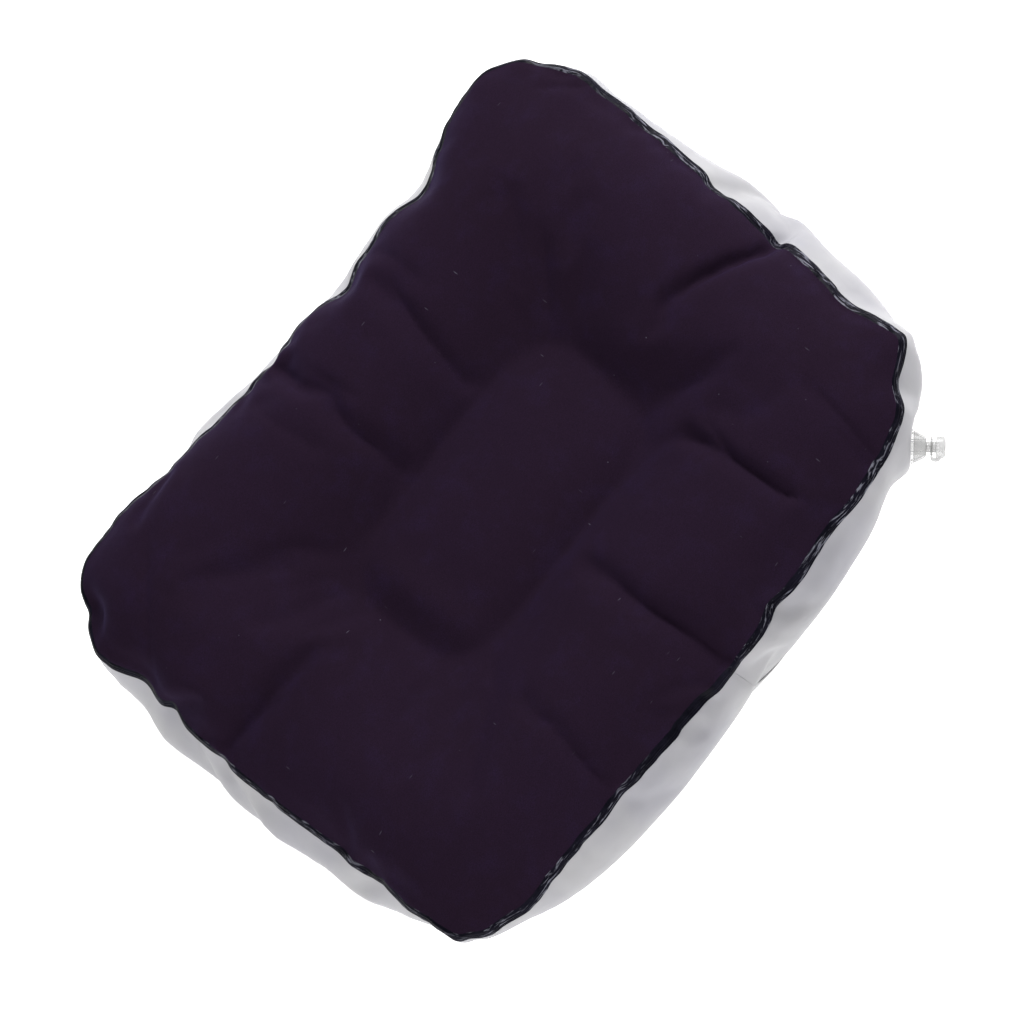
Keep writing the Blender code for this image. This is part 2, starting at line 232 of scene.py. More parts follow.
class Net:
    """The closed bag as a grid of points for each panel and rows of points for the wall."""

    def __init__(self, length, width, wall, cell):
        self.length, self.width = length, width
        self.along = round(length / cell)
        self.across = round(width / cell)
        self.up = round(wall / cell)
        self.panel_size = (self.along + 1) * (self.across + 1)
        self.rim = [(0, i) for i in range(self.along)]
        self.rim += [(j, self.along) for j in range(self.across)]
        self.rim += [(self.across, i) for i in range(self.along, 0, -1)]
        self.rim += [(j, 0) for j in range(self.across, 0, -1)]

    def pattern(self, powers):
        """A panel's grid, with its outer ring on the panel's edge, and each point's reach towards it."""
        u, v = np.meshgrid(np.linspace(-1, 1, self.along + 1), np.linspace(-1, 1, self.across + 1))
        size = np.maximum(np.maximum(np.abs(u), np.abs(v)), 1e-9)
        power = corner_power(u, v, powers)
        pull = 1 / np.maximum(reach(u / size, v / size, 2, 2, power), 0.1)
        scale = 1 + (pull - 1) * size**3
        edge = reach(u * scale, v * scale, 2, 2, power)
        return u * scale * self.length / 2, v * scale * self.width / 2, edge

    def around(self, panel):
        """A panel's points along its rim."""
        return np.array([panel[j, i] for j, i in self.rim])

    def inside(self, panel):
        """The points one step in from the rim."""
        near = [(min(max(j, 1), self.across - 1), min(max(i, 1), self.along - 1)) for j, i in self.rim]
        return np.array([panel[j, i] for j, i in near])

    def faces(self):
        top = np.arange(self.panel_size).reshape(self.across + 1, self.along + 1)
        bottom = top + self.panel_size
        faces = []
        for j in range(self.across):
            for i in range(self.along):
                faces.append((top[j, i], top[j, i + 1], top[j + 1, i + 1], top[j + 1, i]))
                faces.append((bottom[j, i], bottom[j + 1, i], bottom[j + 1, i + 1], bottom[j, i + 1]))
        count = len(self.rim)
        rows = [[bottom[place] for place in self.rim]]
        for k in range(self.up - 1):
            start = 2 * self.panel_size + k * count
            rows.append(list(range(start, start + count)))
        rows.append([top[place] for place in self.rim])
        for lower, upper in zip(rows, rows[1:]):
            for a in range(count):
                b = (a + 1) % count
                faces.append((lower[a], lower[b], upper[b], upper[a]))
        return [tuple(int(corner) for corner in face) for face in faces]

    def points(self, top, bottom, wall):
        """One list of points from both panels and the wall's inner rows."""
        return np.concatenate([top.reshape(-1, 3), bottom.reshape(-1, 3), *wall[1:-1]])

    def split(self, points):
        """Both panels and all of the wall's rows from one list of points."""
        size, count = self.panel_size, len(self.rim)
        top = points[:size].reshape(self.across + 1, self.along + 1, 3)
        bottom = points[size : 2 * size].reshape(self.across + 1, self.along + 1, 3)
        inner = points[2 * size :].reshape(self.up - 1, count, 3)
        wall = np.concatenate([self.around(bottom)[None], inner, self.around(top)[None]])
        return top, bottom, wall


def line_distance(x, y, start, end):
    """Each place's distance from a line, and its share of the way along it."""
    along_x, along_y = end[0] - start[0], end[1] - start[1]
    t = ((x - start[0]) * along_x + (y - start[1]) * along_y) / (along_x**2 + along_y**2)
    t = np.clip(t, 0, 1)
    return np.hypot(x - start[0] - along_x * t, y - start[1] - along_y * t), t


def crease(x, y):
    """How far the creases lower the top before it is blown up."""
    depth = np.zeros_like(x)
    for start, end, width, share in CREASES:
        distance, _ = line_distance(x * 1000, y * 1000, start, end)
        depth += share * np.exp(-((distance / width) ** 2) / 2)
    return depth * CREASE_DEPTH / 1000


def start_heights(x, y, edge, island):
    """The top before it is blown up: an island in a valley, and a dome between valley and rim."""
    outside = (island - 1) / np.maximum(island / np.maximum(edge, 1e-6) - 1, 1e-6)
    t = np.clip(outside, 0, 1)
    dome = VALLEY_HEIGHT + (UPPER_RIM - VALLEY_HEIGHT) * t + DOME_RISE * np.sin(math.pi * t)
    middle = VALLEY_HEIGHT + ISLAND_RISE * (1 - island**2)
    return np.where(island < 1, middle, dome) - crease(x, y)


def blow_up(net):
    """The bag as cloth under pressure, from its cut pattern. Returns the net's points at rest."""
    x, y, edge = net.pattern(TOP_POWERS)
    island = reach(x, y, ISLAND_LENGTH, ISLAND_WIDTH, ISLAND_POWER)
    drawn_in = 1 - DRAW_IN * edge**2
    top = np.stack([x * drawn_in, y * drawn_in, start_heights(x, y, edge, island)], axis=-1)
    flat_top = np.stack([x, y, np.full_like(x, WALL_CUT)], axis=-1)
    x, y, edge = net.pattern(BASE_POWERS)
    drawn_in = 1 - DRAW_IN * edge**2
    turn_up = LOWER_RIM * (np.maximum(0, edge - FLAT_REACH) / (1 - FLAT_REACH)) ** 2
    bottom = np.stack([x * drawn_in, y * drawn_in, turn_up], axis=-1)
    flat_bottom = np.stack([x, y, np.zeros_like(x)], axis=-1)
    low, high = net.around(bottom), net.around(top)
    flat_low, flat_high = net.around(flat_bottom), net.around(flat_top)
    outward = unit(flat_low)
    wall, cut = [], []
    for k in range(net.up + 1):
        t = k / net.up
        wall.append(low * (1 - t) + high * t + outward * WALL_BULGE * math.sin(math.pi * t))
        cut.append(flat_low * (1 - t) + flat_high * t)

    mesh = bpy.data.meshes.new("bag")
    mesh.from_pydata(net.points(top, bottom, wall).tolist(), [], net.faces())
    bag = bpy.data.objects.new("bag", mesh)
    bpy.context.scene.collection.objects.link(bag)
    bag.shape_key_add(name="start")
    pattern = bag.shape_key_add(name="pattern")
    pattern.data.foreach_set("co", net.points(flat_top, flat_bottom, cut).ravel())
    held = bag.vertex_groups.new(name="held")
    tied = np.flatnonzero(np.abs(island.ravel() - 1) < TIE_BAND)
    resting = np.flatnonzero(edge.ravel() < FLAT_REACH) + net.panel_size
    held.add([int(i) for i in (*tied, *resting)], 1.0, "REPLACE")

    cloth = bag.modifiers.new("cloth", "CLOTH")
    settings = cloth.settings
    settings.vertex_group_mass = "held"
    settings.rest_shape_key = pattern
    settings.quality = 6
    settings.mass = 0.1
    settings.tension_stiffness = 40
    settings.compression_stiffness = 10
    settings.shear_stiffness = 20
    settings.bending_stiffness = 1
    settings.tension_damping = 5
    settings.compression_damping = 5
    settings.shear_damping = 5
    settings.bending_damping = 0.5
    settings.use_pressure = True
    settings.uniform_pressure_force = 5
    settings.effector_weights.gravity = 0
    cloth.collision_settings.use_collision = False
    cloth.point_cache.frame_start = 1
    cloth.point_cache.frame_end = FRAMES
    for number in range(1, FRAMES + 1):
        bpy.context.scene.frame_set(number)
    blown = bag.evaluated_get(bpy.context.evaluated_depsgraph_get())
    points = np.zeros(3 * len(mesh.vertices))
    blown.data.vertices.foreach_get("co", points)
    bpy.context.scene.frame_set(1)
    bpy.data.objects.remove(bag, do_unlink=True)
    return points.reshape(-1, 3)


def pulled(points):
    """The bag with its rim, its wall and its base pushed and drawn about."""
    moved = points.copy()
    upper = smooth_step(points[:, 2], *RIM_PULL_FADE)
    lower = 1 - smooth_step(points[:, 2], *WALL_PULL_FADE)
    for pulls, weight in ((RIM_PULLS, upper), (WALL_PULLS, lower)):
        for place, move, width in pulls:
            away = (points[:, :2] * 1000 - np.array(place)) / width
            share = np.exp(-(away**2).sum(axis=1) / 2) * weight
            moved += share[:, None] * np.array(move) / 1000
    edge = reach(points[:, 0], points[:, 1], PANEL_LENGTH, PANEL_WIDTH, RIM_POWER)
    near_rim = smooth_step(edge, *RIPPLE_FADE)
    from_middle = np.abs(points[:, :2]) / (PANEL_LENGTH / 2, PANEL_WIDTH / 2)
    outward = np.sign(points[:, :2]) * from_middle ** (RIM_POWER - 1)
    share = near_rim * upper**2
    moved[:, :2] += unit(outward) * (rippled(points, 0.0) * share)[:, None]
    moved[:, 2] += rippled(points, RISE_LAG) * share
    moved[:, 2] = np.maximum(moved[:, 2], 0.0)
    return moved


def rippled(points, lag):
    """Uneven waves that run along both of the rim's directions."""
    height = np.zeros(len(points))
    for length, drift, rise in RIPPLES:
        for axis in (0, 1):
            along = points[:, axis] * 1000 * 2 * math.pi
            height += rise / 1000 * np.sin(along / length + RIPPLE_DRIFT * np.sin(along / drift) + lag)
    return height


def folded(points):
    """The upper part of the bag with its sharp folds and its low swellings."""
    x, y = points[:, 0] * 1000, points[:, 1] * 1000
    change = np.zeros(len(points))
    for line, width, depth in FOLDS:
        lengths = [math.dist(a, b) for a, b in zip(line, line[1:])]
        nearest, where = np.full(len(points), np.inf), np.zeros(len(points))
        for number, (start, end) in enumerate(zip(line, line[1:])):
            distance, t = line_distance(x, y, start, end)
            share = (sum(lengths[:number]) + t * lengths[number]) / sum(lengths)
            where = np.where(distance < nearest, share, where)
            nearest = np.minimum(nearest, distance)
        taper = np.sqrt(np.maximum(np.sin(math.pi * (FOLD_END + (1 - 2 * FOLD_END) * where)), 0))
        change -= depth * taper * np.exp(-nearest / width)
    for place, height, spreads in MOUNDS:
        away = ((x - place[0]) / spreads[0]) ** 2 + ((y - place[1]) / spreads[1]) ** 2
        change += height * np.exp(-away / 2)
    moved = points.copy()
    moved[:, 2] += change / 1000 * smooth_step(points[:, 2], *FOLD_FADE)
    return moved


def reshape(piece, change):
    """Moves the points of a piece's mesh by a function of all of them."""
    points = np.zeros(3 * len(piece.data.vertices))
    piece.data.vertices.foreach_get("co", points)
    piece.data.vertices.foreach_set("co", change(points.reshape(-1, 3)).ravel())
    piece.data.update()


# The valve's place and axis, from its CAD parts and its joint
def joint(name):
    return next(row for row in frame["record"]["behaviour"]["joints"] if row["name"] == name)


FLANGE_THICKNESS = 0.0010
VALVE_AXIS = Vector(joint("valve_push")["axis"]).normalized()
HINGE_LINE = Vector((0, 0, 1)).cross(VALVE_AXIS).normalized()
flange_low, flange_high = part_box("valve_flange")
VALVE_BASE = (flange_low + flange_high) / 2 - VALVE_AXIS * (GAP + FLANGE_THICKNESS / 2)
VALVE_TURN = Matrix((HINGE_LINE, VALVE_AXIS.cross(HINGE_LINE), VALVE_AXIS)).transposed().to_4x4()
VALVE_FRAME = Matrix.Translation(VALVE_BASE) @ VALVE_TURN
FLAT_RADIUS = 0.0125  # the wall is flat out to here round the valve
FLAT_END = 0.024  # and keeps its own shape from here on


def flattened(points):
    """The wall's film lies flat under the valve's flange."""
    across = points - np.array(VALVE_BASE)
    depth = across @ np.array(VALVE_AXIS)
    radius = np.linalg.norm(across - depth[..., None] * np.array(VALVE_AXIS), axis=-1)
    share = (1 - smooth_step(radius, FLAT_RADIUS, FLAT_END)) * (depth > -FLAT_END)
    return points - np.array(VALVE_AXIS) * (depth * share)[..., None]


# Making and finishing pieces
def applied(obj):
    """Gives the object the mesh that its modifiers make, and no modifiers."""
    graph = bpy.context.evaluated_depsgraph_get()
    mesh = bpy.data.meshes.new_from_object(obj.evaluated_get(graph), depsgraph=graph)
    obj.modifiers.clear()
    obj.data = mesh


def add_piece(name, points, faces, *materials):
    mesh = bpy.data.meshes.new(name)
    mesh.from_pydata([tuple(point) for point in points], [], faces)
    mesh.update()
    for material in materials:
        mesh.materials.append(material)
    piece = bpy.data.objects.new(name, mesh)
    bpy.context.scene.collection.objects.link(piece)
    return piece


def smooth(piece, angle=None):
    piece.data.shade_smooth()
    if angle:
        piece.data.set_sharp_from_angle(angle=math.radians(angle))


def subdivide(piece):
    modifier = piece.modifiers.new("round", "SUBSURF")
    modifier.levels = 1
    modifier.render_levels = 1
    modifier.boundary_smooth = "PRESERVE_CORNERS"


def thicken(piece, thickness):
    modifier = piece.modifiers.new("film", "SOLIDIFY")
    modifier.thickness = thickness
    modifier.offset = -1.0
    modifier.use_even_offset = False


def eased(rows):
    """A closed row of vectors, each averaged twice with its neighbours."""
    for _ in range(2):
        rows = (np.roll(rows, 1, axis=0) + 2 * rows + np.roll(rows, -1, axis=0)) / 4
    return rows


EDGE_TURN = 0.001  # over this distance from a weld line the band's outward turns to the sheet's own
WITHIN_CELL = 0.8  # a band's line on the panel stays this far inside the first cell


class Rim:
    """The strip along a weld line, measured from the line, inwards over the panel or down the wall."""

    def __init__(self, line, panel, wall, upward):
        self.line, self.panel, self.wall = line, panel, wall
        forward = np.roll(line, -1, axis=0) - np.roll(line, 1, axis=0)
        side = 1 if upward else -1
        self.panel_normal = unit(eased(unit(np.cross(forward, panel - line) * side)))
        self.wall_normal = unit(eased(unit(np.cross(wall[0] - line, forward) * side)))
        self.edge_normal = unit(self.panel_normal + self.wall_normal)

    def on_panel(self, distance, outset):
        """A row on the panel, this far in from the weld line."""
        span = np.linalg.norm(self.panel - self.line, axis=1, keepdims=True)
        share = np.minimum(distance / span, WITHIN_CELL)
        blend = min(distance / EDGE_TURN, 1.0)
        normal = unit(self.edge_normal * (1 - blend) + self.panel_normal * blend)
        return self.line + (self.panel - self.line) * share + normal * outset

    def on_wall(self, distance, outset):
        """A row on the wall, this far from the weld line."""
        here, left = self.line, np.full((len(self.line), 1), distance)
        for row in self.wall:
            step = row - here
            span = np.linalg.norm(step, axis=1, keepdims=True)
            share = np.clip(left / span, 0, 1)
            left = np.maximum(left - span, 0)
            here = here + step * share
        blend = min(distance / EDGE_TURN, 1.0)
        normal = unit(self.edge_normal * (1 - blend) + self.wall_normal * blend)
        return here + normal * outset


def strip_faces(lower, upper, closed=True):
    """Faces between two rows of point numbers, without the corners that coincide."""
    faces = []
    count = len(lower)
    for a in range(count if closed else count - 1):
        b = (a + 1) % count
        corners = dict.fromkeys((lower[a], lower[b], upper[b], upper[a]))
        if len(corners) > 2:
            faces.append(tuple(int(corner) for corner in corners))
    return faces


# The welded band's lines: how far from the top weld line, and how far out of the sheet, in millimetres
BAND_ON_PANEL = ((1.2, 0.7), (0.6, 0.8))
BAND_ON_WALL = (
    (0.0, 0.9),
    (0.8, 0.7),
    (1.5, 1.5),
    (2.2, 0.7),
    (2.9, 1.5),
    (3.6, 0.7),
    (4.3, 1.4),
    (5.0, 0.8),
)
PILE_HEIGHT = 0.0009  # of the flock above the panel's net


def make_panel(name, net, panel, rim, on_panel, on_wall, materials, lift=0.0, upward=True):
    """A panel sheet and its welded band, turned over the wall. The band takes the second material."""
    inner = panel[1:-1, 1:-1]
    rows_in, columns_in = inner.shape[:2]
    inner = inner + lift * grid_normals(panel)[1:-1, 1:-1]
    points = [inner.reshape(-1, 3)]
    numbers = np.arange(rows_in * columns_in).reshape(rows_in, columns_in)
    faces = []
    for j in range(rows_in - 1):
        for i in range(columns_in - 1):
            quad = (numbers[j, i], numbers[j, i + 1], numbers[j + 1, i + 1], numbers[j + 1, i])
            faces.append(tuple(int(corner) for corner in quad))
    last = []
    for j, i in net.rim:
        last.append(numbers[min(max(j - 1, 0), rows_in - 1), min(max(i - 1, 0), columns_in - 1)])
    total = rows_in * columns_in
    band_start = None
    rows = [rim.on_panel(distance / 1000, outset / 1000) for distance, outset in on_panel]
    rows += [rim.on_wall(distance / 1000, outset / 1000) for distance, outset in on_wall]
    for row in rows:
        points.append(row)
        ring = list(range(total, total + len(row)))
        total += len(row)
        faces += strip_faces(ring, last)
        if band_start is None:
            band_start = len(faces)
        last = ring
    if not upward:
        faces = [tuple(reversed(face)) for face in faces]
    sheet = add_piece(name, np.concatenate(points), faces, *materials)
    for index, polygon in enumerate(sheet.data.polygons):
        polygon.material_index = 1 if index >= band_start else 0
    return sheet


def grid_normals(panel):
    return unit(np.cross(np.gradient(panel, axis=1), np.gradient(panel, axis=0)))


# Materials
def new_material(name):
    material = bpy.data.materials.new(name)
    material.use_nodes = True
    return material, material.node_tree, material.node_tree.nodes["Principled BSDF"]


def node(tree, kind, inputs=None, **settings):
    made = tree.nodes.new(kind)
    for key, value in settings.items():
        setattr(made, key, value)
    for key, value in (inputs or {}).items():
        if isinstance(value, bpy.types.NodeSocket):
            tree.links.new(value, made.inputs[key])
        else:
            made.inputs[key].default_value = value
    return made


def object_place(tree, scale=(1, 1, 1)):
    place = node(tree, "ShaderNodeTexCoord").outputs["Object"]
    return node(tree, "ShaderNodeMapping", {"Vector": place, "Scale": scale}).outputs["Vector"]


def noise(tree, place, scale, detail=2.0, roughness=0.5):
    inputs = {"Vector": place, "Scale": scale, "Detail": detail, "Roughness": roughness}
    return node(tree, "ShaderNodeTexNoise", inputs).outputs["Fac"]


def spread(tree, value, low, high, out_low=0.0, out_high=1.0):
    inputs = {"Value": value, "From Min": low, "From Max": high, "To Min": out_low, "To Max": out_high}
    return node(tree, "ShaderNodeMapRange", inputs).outputs["Result"]


def mix_colour(tree, share, first, second):
    made = node(tree, "ShaderNodeMix", data_type="RGBA")
    tree.links.new(share, made.inputs["Factor"])
    for key, value in (("A", first), ("B", second)):
        socket = next(s for s in made.inputs if s.name == key and s.type == "RGBA")
        if isinstance(value, bpy.types.NodeSocket):
            tree.links.new(value, socket)
        else:
            socket.default_value = (*value, 1.0)
    return next(s for s in made.outputs if s.type == "RGBA")


def math_node(tree, operation, first, second):
    made = node(tree, "ShaderNodeMath", operation=operation)
    for index, value in enumerate((first, second)):
        if isinstance(value, bpy.types.NodeSocket):
            tree.links.new(value, made.inputs[index])
        else:
            made.inputs[index].default_value = value
    return made.outputs["Value"]


def bump(tree, shader, *layers):
    """Layers of (height, strength, distance), each on top of the one before."""
    normal = None
    for height, strength, distance in layers:
        inputs = {"Height": height, "Strength": strength, "Distance": distance}
        if normal is not None:
            inputs["Normal"] = normal
        normal = node(tree, "ShaderNodeBump", inputs).outputs["Normal"]
    tree.links.new(normal, shader.inputs["Normal"])


def flock_material():
    """Short dense pile: matt and dark, with brushed patches, a few specks of lint, and painted shade
    between its hairs, darker where the pile's bump is low.
    """
    material, tree, shader = new_material("aubergine flock")
    place = object_place(tree)
    pile = noise(tree, place, 1500, 3, 0.7)
    nap = noise(tree, place, 55, 4, 0.6)
    patches = noise(tree, place, 11, 3)
    reddish, bluish = (0.0185, 0.0092, 0.0205), (0.0205, 0.0102, 0.0250)
    # The second colour on the next line is painted shade: the darker tone of the pile's low points
    # between its hairs.
    brushed, painted_shade_between_hairs = (0.0215, 0.0110, 0.0320), (0.0125, 0.0066, 0.0140)
    tone = mix_colour(tree, spread(tree, patches, 0.35, 0.65), reddish, bluish)
    tone = mix_colour(tree, spread(tree, nap, 0.50, 0.72), tone, brushed)
    # Painted shade: where the pile noise, which also bumps the surface, is low, the tone turns to the
    # darker colour between the hairs.
    tone = mix_colour(tree, spread(tree, pile, 0.30, 0.70), painted_shade_between_hairs, tone)
    lint = None
    for stretch, scale, size in (((1, 1, 1), 70, 0.035), ((1, 7, 1), 26, 0.05), ((6, 1, 1), 24, 0.05)):
        inputs = {"Vector": object_place(tree, stretch), "Scale": scale, "Randomness": 1.0}
        cells = node(tree, "ShaderNodeTexVoronoi", inputs)
        near = spread(tree, cells.outputs["Distance"], size, size * 0.4)
        chance = node(tree, "ShaderNodeSeparateColor", {"Color": cells.outputs["Color"]}).outputs["Red"]
        speck = math_node(tree, "MULTIPLY", near, spread(tree, chance, 0.62, 1.0))
        lint = speck if lint is None else math_node(tree, "MAXIMUM", lint, speck)
    lint = math_node(tree, "MULTIPLY", lint, 0.55)
    tree.links.new(mix_colour(tree, lint, tone, (0.16, 0.15, 0.20)), shader.inputs["Base Color"])
    tree.links.new(spread(tree, nap, 0.3, 0.7, 0.95, 0.80), shader.inputs["Roughness"])
    shader.inputs["Specular IOR Level"].default_value = 0.03
    shader.inputs["Sheen Weight"].default_value = 0.055
    shader.inputs["Sheen Roughness"].default_value = 0.45
    shader.inputs["Sheen Tint"].default_value = (0.36, 0.26, 1.0, 1.0)
    bump(tree, shader, (patches, 0.25, 0.004), (nap, 0.35, 0.0008), (pile, 0.45, 0.0003))
    return material


def weld_material():
    """The flocked film where it has been melted down: bald and nearly black, with painted glints, thin
    pale streaks painted into its colour.
    """
    material, tree, shader = new_material("welded band")
    place = object_place(tree)
    grain = noise(tree, place, 700, 3)
    wear = noise(tree, place, 90, 4, 0.65)
    # This streak noise raises fine ridges through the bump and also places the painted glints.
    ridge_and_glint_streaks = noise(tree, object_place(tree, (80, 80, 1100)), 1.0, 3, 0.6)
    glint_breakup = noise(tree, object_place(tree, (9, 9, 9)), 1.0, 2)
    dark, rubbed = (0.0040, 0.0038, 0.0075), (0.010, 0.009, 0.018)
    tone = mix_colour(tree, spread(tree, wear, 0.42, 0.72), dark, rubbed)
    # Painted highlights: thin pale streaks along the band, broken into patches, painted into the colour
    # as glints.
    painted_glints = math_node(tree, "MULTIPLY", spread(tree, ridge_and_glint_streaks, 0.55, 0.62), spread(tree, glint_breakup, 0.42, 0.56))
    tree.links.new(mix_colour(tree, painted_glints, tone, (0.17, 0.17, 0.21)), shader.inputs["Base Color"])
    tree.links.new(spread(tree, wear, 0.35, 0.65, 0.25, 0.45), shader.inputs["Roughness"])
    shader.inputs["Specular IOR Level"].default_value = 0.03
    bump(tree, shader, (wear, 0.5, 0.0010), (ridge_and_glint_streaks, 0.6, 0.0006), (grain, 0.3, 0.0002))
    return material


def film_material(name, colours, alpha):
    """Thin frosted film, faintly drawn along its length."""
    material, tree, shader = new_material(name)
    cloud = noise(tree, object_place(tree), 18, 3)
    drawn = noise(tree, object_place(tree, (14, 14, 150)), 1.0, 4, 0.6)
    crinkle = noise(tree, object_place(tree, (60, 60, 60)), 1.0, 3, 0.6)
    grain = noise(tree, object_place(tree), 900, 2)
    tone = mix_colour(tree, spread(tree, cloud, 0.35, 0.65), *colours)
    tree.links.new(tone, shader.inputs["Base Color"])
    tree.links.new(spread(tree, drawn, 0.3, 0.7, 0.28, 0.44), shader.inputs["Roughness"])
    shader.inputs["Specular IOR Level"].default_value = 0.3
    shader.inputs["Alpha"].default_value = alpha
    bump(tree, shader, (crinkle, 0.15, 0.0015), (drawn, 0.20, 0.0006), (grain, 0.15, 0.0001))
    return material


def clear_material(name, edge_shade_tones, opacity):
    """Soft clear moulded vinyl, a little milky. As in glass, its edges are denser to look through. Its
    dark grey tones, seen most at those dense edges, are painted shade standing in for the dark outlines
    that refraction gives clear vinyl.
    """
    material, tree, shader = new_material(name)
    cloud = noise(tree, object_place(tree), 240, 3)
    grain = noise(tree, object_place(tree), 1400, 2)
    tone = mix_colour(tree, spread(tree, cloud, 0.35, 0.65), *edge_shade_tones)
    tree.links.new(tone, shader.inputs["Base Color"])
    tree.links.new(spread(tree, cloud, 0.3, 0.7, 0.14, 0.28), shader.inputs["Roughness"])
    edge = node(tree, "ShaderNodeLayerWeight", {"Blend": 0.5}).outputs["Facing"]
    tree.links.new(spread(tree, edge, 0.45, 0.95, opacity, 0.92), shader.inputs["Alpha"])
    bump(tree, shader, (cloud, 0.2, 0.0003), (grain, 0.2, 0.00005))
    return material


FLOCK = flock_material()
WELD = weld_material()
WALL_FILM = film_material("grey wall film", ((0.455, 0.45, 0.49), (0.525, 0.52, 0.535)), 0.67)
BASE_FILM = film_material("grey base film", ((0.52, 0.52, 0.535), (0.59, 0.59, 0.60)), 0.75)
# The dark grey tones given to the clear vinyls are painted shade for their edge outlines.
CLEAR = clear_material("clear vinyl", ((0.40, 0.40, 0.395), (0.49, 0.49, 0.485)), 0.10)
CONE_CLEAR = clear_material("clear cone vinyl", ((0.38, 0.38, 0.375), (0.46, 0.46, 0.455)), 0.30)
CAP_CLEAR = clear_material("clear cap vinyl", ((0.33, 0.33, 0.325), (0.41, 0.41, 0.405)), 0.50)


# The bag
BASE_BAND_ON_PANEL = ((4.0, 0.0), (2.5, 0.2), (1.2, 0.6))
BASE_BAND_ON_WALL = ((0.0, 0.9), (1.3, 0.7), (2.6, 0.9), (4.0, 0.8))
WALL_INSET = 0.18  # the wall's edges stop this share of a row short of the weld lines
LAP_PLACE = (0.005, -0.180)
LAP_COLUMNS = 2
PORT_RADIUS = 0.0085  # wide enough for the valve's cone to fold in through it
PORT_CUT = 0.030
CUTTER_SIDES = 96
SHARP_FILM = 40  # degrees


def make_wall(wall):
    """One strip of film bent round the bag. Its far end passes inside its near end at the lap."""
    rows = wall.copy()
    rows[0] += (wall[1] - wall[0]) * WALL_INSET
    rows[-1] += (wall[-2] - wall[-1]) * WALL_INSET
    middle = rows[len(rows) // 2][:, :2]
    first = int(np.argmin(np.linalg.norm(middle - np.array(LAP_PLACE), axis=1)))
    rows = np.roll(rows, -first, axis=1)
    forward = np.roll(rows, -1, axis=1) - np.roll(rows, 1, axis=1)
    outward = unit(np.cross(forward, np.gradient(rows, axis=0)))
    inner = rows - outward * (FILM + GAP)
    rows = np.concatenate([rows, inner[:, : LAP_COLUMNS + 1]], axis=1)
    count = rows.shape[1]
    faces = []
    for k in range(len(rows) - 1):
        lower = list(range(k * count, (k + 1) * count))
        faces += strip_faces(lower, [number + count for number in lower], closed=False)
    strip = add_piece("film_wall", rows.reshape(-1, 3), faces, WALL_FILM)
    subdivide(strip)
    applied(strip)
    reshape(strip, folded)
    thicken(strip, FILM)
    applied(strip)
    cut_hole(strip, PORT_RADIUS, PORT_CUT, VALVE_BASE, VALVE_AXIS)
    smooth(strip, SHARP_FILM)
    return strip


def cut_hole(piece, radius, depth, middle, direction):
    """A round hole through a piece's sheet."""
    bm = bmesh.new()
    bmesh.ops.create_cone(
        bm, cap_ends=True, segments=CUTTER_SIDES, radius1=radius, radius2=radius, depth=depth
    )
    mesh = bpy.data.meshes.new("cutter")
    bm.to_mesh(mesh)
    bm.free()
    cutter = bpy.data.objects.new("cutter", mesh)
    bpy.context.scene.collection.objects.link(cutter)
    turn = direction.to_track_quat("Z", "Y").to_matrix().to_4x4()
    cutter.matrix_world = Matrix.Translation(middle) @ turn
    modifier = piece.modifiers.new("hole", "BOOLEAN")
    modifier.operation = "DIFFERENCE"
    modifier.object = cutter
    modifier.solver = "EXACT"
    applied(piece)
    bpy.data.objects.remove(cutter, do_unlink=True)


def oblong(shares, length, width, power):
    """Points, and their outward, at shares of the way round an oblong from its +X end towards +Y."""
    angle = np.linspace(0, 2 * math.pi, OBLONG_STEPS + 1)
    x = np.sign(np.cos(angle)) * np.abs(np.cos(angle)) ** (2 / power) * length / 2
    y = np.sign(np.sin(angle)) * np.abs(np.sin(angle)) ** (2 / power) * width / 2
    run = np.concatenate([[0], np.cumsum(np.hypot(np.diff(x), np.diff(y)))])
    run /= run[-1]

    def place(share):
        return np.stack([np.interp(share % 1.0, run, x), np.interp(share % 1.0, run, y)], axis=-1)

    along = place(shares + OBLONG_TANGENT) - place(shares - OBLONG_TANGENT)
    return place(shares), unit(np.stack([along[:, 1], -along[:, 0]], axis=-1))


OBLONG_STEPS = 2880
OBLONG_TANGENT = 0.004  # half of the share of the way round over which a direction is taken
TIE_MARGIN = 0.006  # the tie web's flanges, which are welded to both sheets
TIE_BEND = 0.002  # where the flanges start to turn up
WEB_AROUND = 160
WEB_STEPS = 10
VENT_COUNT = 8
VENT_RADIUS = 0.007
VENT_CUT = 0.012


